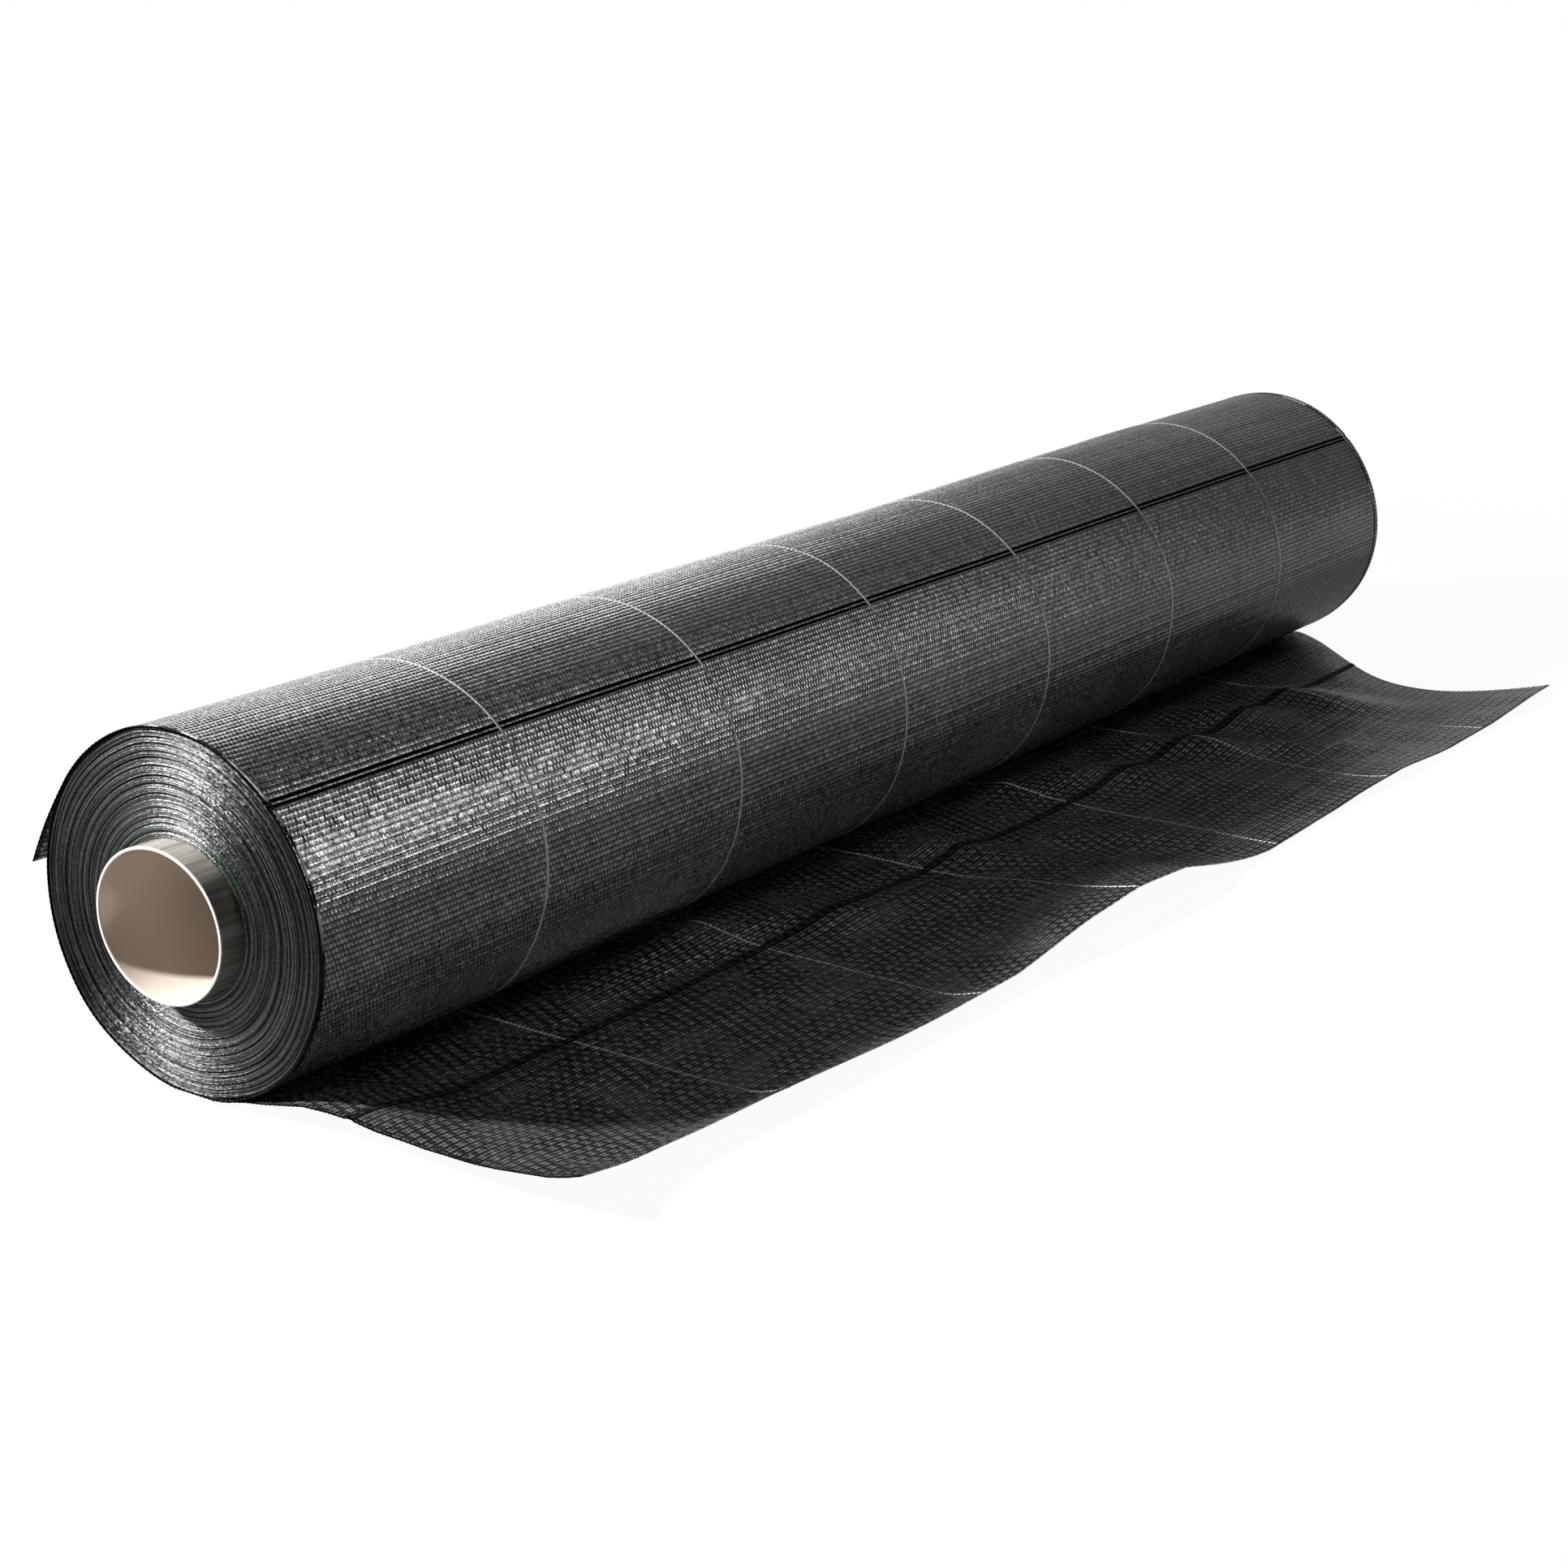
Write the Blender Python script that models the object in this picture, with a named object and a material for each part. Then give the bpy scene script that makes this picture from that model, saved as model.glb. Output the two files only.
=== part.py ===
# Roll of woven landscape fabric on a plastic core, lying on the ground.
# Metres, +Z up. The roll's axis runs along +X, its free end lies toward -Y.
# The origin is on the ground, under the roll's axis, at the middle of the web's width.
# The fabric is wound double: its outer ply ends at the back as a loose tail,
# and its inner ply goes on under the roll and runs out in front as the free end.

import math

import bpy


# Web and core
web_width = 1.050
ply_thickness = 0.0006
ply_clearance = 0.0003
roll_radius = 0.0845
core_outer_radius = 0.0370
core_wall = 0.0018
core_overhang = 0.0120
core_rim_bevel = 0.0004

# The roll sits down on the ground by its own weight
contact_sink = 0.0005

# End faces of the wound turns
groove_depth = 0.0015
groove_margin = 0.0008
groove_turns = 12
ridge_share = 0.62
groove_share = 0.81

# Free end on the ground, measured forward from the line under the roll's axis
hinge_reach = 0.060
near_reach = 0.213
far_reach = 0.236
fold_height = 0.0100
selvedge_lift = 0.0090
selvedge_lift_width = 0.0550
corner_lift = 0.0070
lift_ramp = 0.0300
waist_draw = 0.0680
corner_draw = 0.0250
waist_lean = 1.3
draw_power = 8

# Loose tail of the outer ply at the back
tail_length = 0.048
tail_bend_radius = 0.250

# Angles round the roll, from its top toward the front
outer_start_angle = math.radians(164.0)
tail_angle = math.radians(-54.0)
tuck_angle = math.radians(-24.0)
lead_angle = math.radians(-160.0)

# Facets
core_steps = 64
pack_steps = 48
ply_steps_per_turn = 96
tail_steps = 8
free_steps_across = 56
free_steps_along = 12

# Radii of the layers, from the outside in
outer_ply_inner = roll_radius - ply_thickness
under_ply_outer = outer_ply_inner - ply_clearance
under_ply_inner = under_ply_outer - ply_thickness
pack_low_radius = under_ply_inner - ply_clearance
pack_bore_radius = core_outer_radius + ply_clearance
axis_height = under_ply_outer - contact_sink

# Ends of the web
near_x = -web_width / 2
far_x = web_width / 2

# Folds of the free end, as shares of the web's width, of the free reach and of
# fold_height: centre across, centre along, half width, half length, height
fold_shares = (
    (0.285, 0.10, 0.040, 0.22, 0.40),
    (0.300, 1.00, 0.045, 0.20, 0.35),
    (0.440, 1.00, 0.055, 0.42, 1.00),
    (0.560, 0.55, 0.030, 0.60, 0.30),
    (0.715, 0.26, 0.045, 0.26, 0.75),
    (0.860, 0.30, 0.035, 0.28, 0.60),
    (0.985, 1.00, 0.030, 0.25, 0.45),
)


def clear_scene():
    for old in list(bpy.data.objects):
        bpy.data.objects.remove(old, do_unlink=True)


def make_material(name, colour, roughness, metallic=0.0):
    material = bpy.data.materials.new(name)
    material.use_nodes = True
    shader = material.node_tree.nodes["Principled BSDF"]
    shader.inputs["Base Color"].default_value = (*colour, 1.0)
    shader.inputs["Roughness"].default_value = roughness
    shader.inputs["Metallic"].default_value = metallic
    material.diffuse_color = (*colour, 1.0)
    return material


def add_object(name, vertices, faces, material, pivot=(0.0, 0.0, 0.0)):
    mesh = bpy.data.meshes.new(name)
    local = [tuple(place - origin for place, origin in zip(point, pivot)) for point in vertices]
    mesh.from_pydata(local, [], faces)
    mesh.shade_smooth()
    mesh.set_sharp_from_angle(angle=math.radians(35.0))
    mesh.materials.append(material)
    item = bpy.data.objects.new(name, mesh)
    item.location = pivot
    bpy.context.scene.collection.objects.link(item)
    return item


def add_thickness(item, side):
    # side is 1 to grow along the surface's normals and -1 to grow against them
    shell = item.modifiers.new("ply", "SOLIDIFY")
    shell.thickness = ply_thickness
    shell.offset = side
    shell.use_even_offset = True


def round_point(radius, angle):
    # place on a circle round the roll's axis, as (y, z)
    return (-radius * math.sin(angle), axis_height + radius * math.cos(angle))


def arc_points(radius, start, end):
    steps = max(2, round(abs(end - start) / math.tau * ply_steps_per_turn))
    return [round_point(radius, start + (end - start) * step / steps) for step in range(steps + 1)]


def add_sheet(name, profile, material, pivot=(0.0, 0.0, 0.0)):
    # the profile runs over the top toward the back, or on from there, so normals point outward
    vertices = []
    for y, z in profile:
        vertices.append((near_x, y, z))
        vertices.append((far_x, y, z))
    faces = []
    for step in range(len(profile) - 1):
        low = 2 * step
        faces.append((low, low + 1, low + 3, low + 2))
    return add_object(name, vertices, faces, material, pivot)


def build_core_tube(material):
    # revolved wall with eased rims
    bore_radius = core_outer_radius - core_wall
    near = near_x - core_overhang
    far = far_x + core_overhang
    ring_places = (
        (near, bore_radius + core_rim_bevel),
        (near, core_outer_radius - core_rim_bevel),
        (near + core_rim_bevel, core_outer_radius),
        (far - core_rim_bevel, core_outer_radius),
        (far, core_outer_radius - core_rim_bevel),
        (far, bore_radius + core_rim_bevel),
        (far - core_rim_bevel, bore_radius),
        (near + core_rim_bevel, bore_radius),
    )
    vertices = []
    for x, radius in ring_places:
        for step in range(core_steps):
            y, z = round_point(radius, math.tau * step / core_steps)
            vertices.append((x, y, z))
    faces = []
    rings = len(ring_places)
    for ring in range(rings):
        this_ring = ring * core_steps
        next_ring = (ring + 1) % rings * core_steps
        for step in range(core_steps):
            after = (step + 1) % core_steps
            faces.append((this_ring + step, this_ring + after, next_ring + after, next_ring + step))
    pivot = (0.0, 0.0, axis_height)
    return add_object("core_tube", vertices, faces, material, pivot)


def pack_radius(angle):
    # the inner ply leaves the pack at the back, so the pack is one ply thinner from there on
    behind = -math.pi <= angle < tuck_angle + math.tau / pack_steps
    below = angle > outer_start_angle
    if behind or below:
        return pack_low_radius
    return under_ply_outer


def pack_angle(step):
    # steps run from the top, by the front, all the way round
    angle = math.tau * step / pack_steps
    if angle > math.pi:
        angle -= math.tau
    return angle


def pack_line(step, x, inward):
    # one radial line of an end face: bore, the turns' ridges and grooves, rim
    angle = pack_angle(step)
    bore = pack_bore_radius / math.cos(math.pi / pack_steps)
    pitch = (pack_low_radius - pack_bore_radius - 2 * groove_margin) / (groove_turns + 1)
    first = bore + groove_margin + pitch * step / pack_steps
    places = [(bore, 0.0)]
    for turn in range(groove_turns):
        start = first + pitch * turn
        places.append((start, 0.0))
        places.append((start + pitch * ridge_share, 0.0))
        places.append((start + pitch * groove_share, groove_depth))
    places.append((first + pitch * groove_turns, 0.0))
    places.append((pack_radius(angle), 0.0))
    line = []
    floor = ply_thickness + ply_clearance
    for radius, depth in places:
        y, z = round_point(radius, angle)
        line.append((x + inward * depth, y, max(z, floor)))
    return line


def build_wound_pack(material):
    # turns of fabric between the core and the last plies, with one spiral groove in each end face
    vertices = []
    per_line = 3 * groove_turns + 3
    for x, inward in ((near_x, 1.0), (far_x, -1.0)):
        for step in range(pack_steps):
            vertices.extend(pack_line(step, x, inward))
    faces = []

    def index(end, step, place):
        return (end * pack_steps + step % pack_steps) * per_line + place

    def add_face(end, corners):
        faces.append(tuple(reversed(corners)) if end == 0 else tuple(corners))

    last = per_line - 1
    for end in (0, 1):
        for step in range(pack_steps - 1):
            for place in range(last):
                add_face(end, (index(end, step, place), index(end, step, place + 1),
                               index(end, step + 1, place + 1), index(end, step + 1, place)))
        # across the seam every turn goes on as the next one out
        step = pack_steps - 1
        bore_fan = [index(end, step, 0), index(end, step, 1)]
        bore_fan += [index(end, 0, place) for place in (4, 3, 2, 1, 0)]
        add_face(end, bore_fan)
        for place in range(1, last - 4):
            add_face(end, (index(end, step, place), index(end, step, place + 1),
                           index(end, 0, place + 4), index(end, 0, place + 3)))
        rim_fan = [index(end, step, place) for place in range(last - 4, last + 1)]
        rim_fan += [index(end, 0, last), index(end, 0, last - 1)]
        add_face(end, rim_fan)
    for step in range(pack_steps):
        faces.append((index(0, step, last), index(0, step + 1, last),
                      index(1, step + 1, last), index(1, step, last)))
        faces.append((index(0, step, 0), index(1, step, 0),
                      index(1, step + 1, 0), index(0, step + 1, 0)))
    return add_object("wound_pack", vertices, faces, material)


def build_outer_ply(material):
    # outer ply of the last turn, from under the front over the top to the back
    ply = add_sheet("outer_ply", arc_points(roll_radius, outer_start_angle, tail_angle), material)
    add_thickness(ply, -1.0)


def build_outer_tail(material):
    # loose end of the outer ply, which bends less than the roll and so stands off it
    start_y, start_z = round_point(roll_radius, tail_angle)
    profile = []
    for step in range(tail_steps + 1):
        run = ply_clearance + (tail_length - ply_clearance) * step / tail_steps
        turned = run / tail_bend_radius
        along = tail_bend_radius * math.sin(turned)
        drop = tail_bend_radius * (1.0 - math.cos(turned))
        y = start_y + along * math.cos(tail_angle) - drop * math.sin(-tail_angle)
        z = start_z - along * math.sin(-tail_angle) - drop * math.cos(tail_angle)
        profile.append((y, z))
    tail = add_sheet("outer_tail", profile, material, (0.0, start_y, start_z))
    add_thickness(tail, -1.0)


def build_under_ply(material):
    # inner ply, tucked under the outer one at the back and bare from there down
    ply = add_sheet("under_ply", arc_points(under_ply_outer, tuck_angle, lead_angle), material)
    add_thickness(ply, -1.0)


def build_lead_in(material):
    # inner ply where it passes under the roll, pressed flat, and runs out to the free end
    gap_angle = ply_clearance / under_ply_outer
    lift_off = math.pi - math.acos(axis_height / under_ply_outer)
    profile = arc_points(under_ply_outer, lead_angle - gap_angle, -lift_off)
    profile[-1] = (profile[-1][0], 0.0)
    profile.append((-hinge_reach + ply_clearance / 2, 0.0))
    lead = add_sheet("lead_in", profile, material)
    add_thickness(lead, -1.0)


def smooth_step(value):
    clipped = min(max(value, 0.0), 1.0)
    return clipped * clipped * (3.0 - 2.0 * clipped)


def free_height(from_near, across, along, run):
    # height of the free end's underside above the ground
    ramp = smooth_step(run / lift_ramp)
    height = 0.0
    for centre_across, centre_along, half_across, half_along, rise_share in fold_shares:
        apart = ((across - centre_across) / half_across) ** 2
        apart += ((along - centre_along) / half_along) ** 2
        height += fold_height * rise_share * math.exp(-apart)
    near_edge = max(0.0, 1.0 - from_near / selvedge_lift_width) ** 2
    height += near_edge * (selvedge_lift + corner_lift * smooth_step(along) ** 2)
    return ramp * height


def build_free_end(material):
    # loose length of the inner ply on the ground, with its main folds and lifted near selvedge
    hinge_y = -hinge_reach
    vertices = []
    for step in range(free_steps_along + 1):
        along = step / free_steps_along
        drawn = waist_draw * math.sin(math.pi * along ** waist_lean) + corner_draw * along
        for column in range(free_steps_across + 1):
            across = column / free_steps_across
            from_near = across * web_width - drawn * across ** draw_power
            reach = near_reach + (far_reach - near_reach) * across
            run = (reach - hinge_reach - ply_clearance / 2) * along
            y = hinge_y - ply_clearance / 2 - run
            vertices.append((near_x + from_near, y, free_height(from_near, across, along, run)))
    faces = []
    row = free_steps_across + 1
    for step in range(free_steps_along):
        for column in range(free_steps_across):
            low = step * row + column
            faces.append((low, low + row, low + row + 1, low + 1))
    pivot = (0.0, hinge_y, ply_thickness)
    sheet = add_object("free_end", vertices, faces, material, pivot)
    add_thickness(sheet, 1.0)
    return sheet


def report_layer_gap():
    # least radial gap between the plies, where the inner one is tucked under the outer one
    outer_points = arc_points(outer_ply_inner, tail_angle, tuck_angle)
    inner_points = arc_points(under_ply_outer, tail_angle, tuck_angle)
    least = min(math.dist(one, other) for one in outer_points for other in inner_points)
    print("least gap between the last two plies, mm:", round(1000 * least, 3))


def build_roll():
    clear_scene()
    fabric = make_material("woven_fabric", (0.020, 0.020, 0.021), 0.55)
    edges = make_material("turn_edges", (0.035, 0.035, 0.036), 0.65)
    core_plastic = make_material("core_plastic", (0.42, 0.37, 0.33), 0.25)
    build_core_tube(core_plastic)
    build_wound_pack(edges)
    build_outer_ply(fabric)
    build_outer_tail(fabric)
    build_under_ply(fabric)
    build_lead_in(fabric)
    build_free_end(fabric)
    report_layer_gap()


build_roll()
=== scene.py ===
import math

import bmesh
import bpy
import numpy as np
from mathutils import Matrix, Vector


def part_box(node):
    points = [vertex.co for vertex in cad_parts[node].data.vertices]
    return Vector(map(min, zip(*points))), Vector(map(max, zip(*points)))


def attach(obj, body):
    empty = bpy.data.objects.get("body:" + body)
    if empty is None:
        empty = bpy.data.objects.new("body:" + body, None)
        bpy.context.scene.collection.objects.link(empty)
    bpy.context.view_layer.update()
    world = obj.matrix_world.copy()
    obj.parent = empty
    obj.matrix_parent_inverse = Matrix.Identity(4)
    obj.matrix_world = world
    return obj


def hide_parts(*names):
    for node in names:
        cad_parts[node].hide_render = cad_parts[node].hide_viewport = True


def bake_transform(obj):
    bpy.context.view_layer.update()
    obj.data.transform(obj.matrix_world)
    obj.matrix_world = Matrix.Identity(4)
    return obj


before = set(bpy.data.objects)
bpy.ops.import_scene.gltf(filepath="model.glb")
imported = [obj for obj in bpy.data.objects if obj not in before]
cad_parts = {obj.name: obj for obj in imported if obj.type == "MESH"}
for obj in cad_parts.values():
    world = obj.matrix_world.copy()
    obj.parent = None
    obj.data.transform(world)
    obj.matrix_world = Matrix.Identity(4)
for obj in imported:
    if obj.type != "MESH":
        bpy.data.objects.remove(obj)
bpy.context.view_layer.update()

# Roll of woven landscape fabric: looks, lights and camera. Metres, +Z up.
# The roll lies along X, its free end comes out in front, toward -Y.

outerLow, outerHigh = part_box("outer_ply")
coreLow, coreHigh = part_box("core_tube")

nearX, farX = outerLow.x, outerHigh.x
webWidth = farX - nearX
rollRadius = -outerLow.y
axisHeight = outerHigh.z - rollRadius

# what all the fabric has in common
cloth = {
    "thickness": 0.0006,
    "layerGap": 0.0003,
    "ribPitch": 0.00275,  # one weft tape and the gap beside it
    "ribHeight": 0.00026,
    "ribSteps": 6,  # mesh rows in one rib
    "lineSink": 0.9,  # depth of the dark cross line, and height of the rib in it, in rib heights
    "lineRibRise": 1.5,
    "lineEase": 0.0006,
    "lineRibEase": 0.0005,
    "warpPitch": 0.00115,
    "lumpHeight": 0.0009,
    "bulge": 0.0028,  # the far half of the roll is wound a little looser on top
    "clearance": 0.0021,  # the near end's last turns stand this far clear of the ground
    "clearBand": 0.0900,  # as far in as this, and round the underside from this angle on
    "clearFrom": math.radians(125.0),
    "clearEase": math.radians(35.0),
    # pale marker tapes and mesh columns, by the distance across the web
    "markerPlaces": (0.0016, 0.145, 0.295, 0.445, 0.595, 0.745, 0.895, 1.0455),
    "columnStep": 0.0150,
    "edgeColumnStep": 0.0040,
    "edgeBand": 0.0560,
}


def valueNoise(x, y, seed):
    # smooth uneven height from -1 to 1 with one bump to a unit
    size = 64
    cells = np.random.default_rng(seed).uniform(-1.0, 1.0, (size, size))
    column, row = np.floor(x).astype(int), np.floor(y).astype(int)
    partX, partY = x - column, y - row
    easeX, easeY = partX * partX * (3 - 2 * partX), partY * partY * (3 - 2 * partY)
    low = cells[column % size, row % size] * (1 - easeX) + cells[(column + 1) % size, row % size] * easeX
    high = cells[column % size, (row + 1) % size] * (1 - easeX)
    high = high + cells[(column + 1) % size, (row + 1) % size] * easeX
    return low * (1 - easeY) + high * easeY


def smoothStep(value):
    share = np.clip(value, 0.0, 1.0)
    return share * share * (3 - 2 * share)


def roundPlace(radius, angle):
    # y and z on a circle round the roll's axis; angles run from the top toward the front
    return -radius * np.sin(angle), axisHeight + radius * np.cos(angle)


def webColumns():
    # distances across the web, closer together near the near selvedge
    fine = np.arange(0.0, cloth["edgeBand"], cloth["edgeColumnStep"])
    coarseCount = round((webWidth - cloth["edgeBand"]) / cloth["columnStep"])
    coarse = np.linspace(cloth["edgeBand"], webWidth, coarseCount + 1)
    # a column under every marker tape, so that both follow the same folds, and one beside each selvedge
    beside = [cloth["thickness"], webWidth - cloth["thickness"]]
    return np.unique(np.concatenate([fine, coarse, cloth["markerPlaces"], beside]))


def ribWave(fromLine, fabric):
    # height of the weft ribs, 0 in the valleys and 1 on the crests; the dark cross line lies lower
    away = np.abs(fromLine)
    phase = (away - fabric["lineHalf"]) / cloth["ribPitch"]
    part = phase - np.floor(phase)
    ribs = 1 - np.abs(2 * part - 1) ** 3
    inLine = -cloth["lineSink"] * smoothStep((fabric["lineHalf"] - away) / cloth["lineEase"])
    if fabric["lineRibHalf"] > 0:
        inLine += cloth["lineRibRise"] * smoothStep((fabric["lineRibHalf"] - away) / cloth["lineRibEase"])
    return np.where(away < fabric["lineHalf"], inLine, ribs)


def nearClearance(across, angle):
    # the near end of the roll stands a little clear of the ground
    below = smoothStep((np.abs(angle) - cloth["clearFrom"]) / cloth["clearEase"])
    return cloth["clearance"] * smoothStep(1 - across / cloth["clearBand"]) * below


def rollLumps(across, angle):
    # the last turns lie a little unevenly on those below
    long = valueNoise(across * 5.0 + 3.1, angle * 1.1 + 7.0, 11)
    short = valueNoise(across * 17.0 + 9.4, angle * 3.0 + 2.0, 12)
    bulge = smoothStep((across - 0.45) / 0.45) * np.cos(np.clip(angle + 0.35, -1.5, 1.5)) ** 2
    return cloth["lumpHeight"] * (0.65 * long + 0.35 * short) + cloth["bulge"] * bulge


def addMesh(name, vertices, faces, material):
    mesh = bpy.data.meshes.new(name)
    mesh.from_pydata(vertices, [], faces)
    mesh.shade_smooth()
    mesh.materials.append(material)
    piece = bpy.data.objects.new(name, mesh)
    bpy.context.scene.collection.objects.link(piece)
    return piece


def addMap(mesh, name, places2d):
    # a UV map from one pair of numbers for each vertex
    loopPoints = np.zeros(len(mesh.loops), int)
    mesh.loops.foreach_get("vertex_index", loopPoints)
    mesh.uv_layers.new(name=name).data.foreach_set("uv", places2d[loopPoints].ravel())


def gridFaces(rows, columns, first=0):
    index = first + np.arange(rows * columns).reshape(rows, columns)
    corners = (index[:-1, :-1], index[:-1, 1:], index[1:, 1:], index[1:, :-1])
    return np.stack(corners, axis=-1).reshape(-1, 4)


def makeCloth(name, places, across, fromLine, material):
    # one sheet from a grid of places, with its thickness; the web map holds metres across and along
    piece = addMesh(name, places.reshape(-1, 3).tolist(), gridFaces(*across.shape).tolist(), material)
    addMap(piece.data, "web", np.stack([across.ravel(), fromLine.ravel()], axis=-1))
    shell = piece.modifiers.new("thickness", "SOLIDIFY")
    shell.thickness = cloth["thickness"]
    shell.offset = -1.0
    return piece


def clothGrid(start, end):
    # distances along and across a stretch of the web, with whole steps to each rib
    rows = max(8, round((end - start) * cloth["ribSteps"] / cloth["ribPitch"]))
    return np.meshgrid(np.linspace(start, end, rows + 1), webColumns(), indexing="ij")


# Materials

def addNode(tree, kind, **settings):
    node = tree.nodes.new(kind)
    for key, value in settings.items():
        setattr(node, key, value)
    return node


def feed(tree, value, socket):
    # numbers and colours are set, and other sockets are linked
    if isinstance(value, (int, float)):
        socket.default_value = value
    elif isinstance(value, tuple):
        socket.default_value = (*value, 1.0)
    else:
        tree.links.new(value, socket)


def calc(tree, operation, *values):
    # one Math node; numbers and sockets both work as inputs
    node = addNode(tree, "ShaderNodeMath", operation=operation)
    for socket, value in zip(node.inputs, values):
        feed(tree, value, socket)
    return node.outputs[0]


def product(tree, first, *others):
    for other in others:
        first = calc(tree, "MULTIPLY", first, other)
    return first


def weighted(tree, first, share, second):
    # a share of the first value and the rest of the second
    return calc(tree, "ADD", product(tree, first, share), product(tree, second, 1 - share))


def centred(tree, share):
    # 0 to 1 becomes -1 to 1
    return calc(tree, "MULTIPLY_ADD", share, 2.0, -1.0)


def distance(tree, first, second):
    return calc(tree, "SQRT", calc(tree, "MULTIPLY_ADD", first, first, product(tree, second, second)))


def remap(tree, value, low, high, newLow, newHigh, smooth=False):
    node = addNode(tree, "ShaderNodeMapRange", interpolation_type="SMOOTHSTEP" if smooth else "LINEAR")
    names = ("Value", "From Min", "From Max", "To Min", "To Max")
    for name, setting in zip(names, (value, low, high, newLow, newHigh)):
        feed(tree, setting, node.inputs[name])
    return node.outputs[0]


def within(tree, away, half, blur):
    # 1 inside the half width and 0 outside it
    return remap(tree, away, half - blur, half + blur, 1.0, 0.0)


def mixColour(tree, share, first, second):
    node = addNode(tree, "ShaderNodeMix", data_type="RGBA")
    for place, value in ((0, share), (6, first), (7, second)):
        feed(tree, value, node.inputs[place])
    return node.outputs[2]


def noise(tree, vector, scale, detail=2.0, roughness=0.5):
    # a scale of three numbers stretches the noise
    if isinstance(scale, tuple):
        stretch = addNode(tree, "ShaderNodeMapping")
        stretch.inputs["Scale"].default_value = scale
        tree.links.new(vector, stretch.inputs["Vector"])
        vector, scale = stretch.outputs[0], 1.0
    node = addNode(tree, "ShaderNodeTexNoise")
    for name, value in (("Vector", vector), ("Scale", scale), ("Detail", detail), ("Roughness", roughness)):
        feed(tree, value, node.inputs[name])
    return node.outputs[0]


def separate(tree, vector):
    node = addNode(tree, "ShaderNodeSeparateXYZ")
    tree.links.new(vector, node.inputs[0])
    return tuple(node.outputs)


def combine(tree, *values):
    node = addNode(tree, "ShaderNodeCombineXYZ")
    for socket, value in zip(node.inputs, values):
        feed(tree, value, socket)
    return node.outputs[0]


def chanceOf(tree, number):
    # one chance value for each whole number
    node = addNode(tree, "ShaderNodeTexWhiteNoise", noise_dimensions="1D")
    tree.links.new(number, node.inputs["W"])
    return node.outputs["Value"]


def chancesOf(tree, first, second):
    # for each pair of whole numbers one chance value, and three more
    node = addNode(tree, "ShaderNodeTexWhiteNoise", noise_dimensions="2D")
    tree.links.new(combine(tree, first, second), node.inputs["Vector"])
    return node.outputs["Value"], separate(tree, node.outputs["Color"])


def objectPlace(tree):
    return addNode(tree, "ShaderNodeTexCoord").outputs["Object"]


def addBump(tree, shader, height, strength, depth):
    bump = addNode(tree, "ShaderNodeBump")
    for name, value in (("Strength", strength), ("Distance", depth), ("Height", height)):
        feed(tree, value, bump.inputs[name])
    tree.links.new(bump.outputs[0], shader.inputs["Normal"])


def newMaterial(name):
    material = bpy.data.materials.new(name)
    material.use_nodes = True
    tree = material.node_tree
    return material, tree, tree.nodes["Principled BSDF"]


weave = {
    "dark": (0.0025, 0.0025, 0.0025),
    "light": (0.155, 0.155, 0.156),
    "lineColour": (0.001, 0.001, 0.001),
    "roughness": (0.17, 0.38),
    "lineRoughness": 0.4,
    "warpBend": 0.20,  # slopes of the tapes where they arch over each other
    "weftBend": 0.34,
    "lean": 0.15,
    "paintedWarpShade": 0.55,  # painted shade: the warp lies deeper, so it is painted darker than the weft
    "unevenLength": 0.0042,
    "unevenStep": 7.31,
    "dashPitch": 0.0072,  # the pale dashes stand in slanting lines that change sides in zones
    "dashShift": 0.30,
    "zones": (16.0, 30.0, 1.0),
    "darkest": 0.1,  # least light between the dashes
    "lineBlur": 0.0002,
    "selvedgeShadeBand": (0.0005, 0.0008),  # painted shade: colour and shine fade to nothing on the outermost threads at each selvedge, where the lamps light the cut edge
    "gloss": 1.15,
    "glossIor": 1.8,
}

# dark line across the web, depth of the dashes, tapes in one row of them, and the strength of it all, which
# paints the free end paler and shinier than the roll as painted light
rollFabric = {
    "lineAngle": math.radians(43.0),
    "lineHalf": 0.0021,
    "lineRibHalf": 0.0005,
    "lineGloss": 0.0,
    "dashDepth": 0.36,
    "dashRows": 1,
    "strength": 1.0,
}
freeFabric = {
    "lineReach": 0.0985,
    "lineHalf": 0.0021,
    "lineRibHalf": 0.0,
    "lineGloss": 0.12,
    "dashDepth": 1.60,
    "dashRows": 2,
    "strength": 2.3,
}


def dashLight(tree, uv, across, weft, fabric):
    # light and dark along the tapes, in slanting lines from row to row
    zone = calc(tree, "SIGN", calc(tree, "SUBTRACT", noise(tree, uv, weave["zones"], 1.0), 0.5))
    row = calc(tree, "DIVIDE", weft, fabric["dashRows"])
    side = product(tree, zone, calc(tree, "FLOOR", row), weave["dashShift"])
    inDash = calc(tree, "FRACT", calc(tree, "ADD", calc(tree, "DIVIDE", across, weave["dashPitch"]), side))
    shade = remap(tree, calc(tree, "ABSOLUTE", centred(tree, inDash)), 0.3, 0.7, 0.0, 1.0)
    if fabric["dashRows"] > 1:
        inRow = calc(tree, "ABSOLUTE", centred(tree, calc(tree, "FRACT", row)))
        shade = calc(tree, "MAXIMUM", shade, remap(tree, inRow, 0.45, 0.8, 0.0, 1.0))
    deepest = fabric["dashDepth"]
    depth = remap(tree, noise(tree, uv, 26.0), 0.38, 0.52, deepest / 2, deepest)
    light = calc(tree, "SUBTRACT", calc(tree, "MULTIPLY_ADD", depth, 0.5, 1.0), product(tree, shade, depth))
    return calc(tree, "MAXIMUM", light, weave["darkest"])


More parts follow.
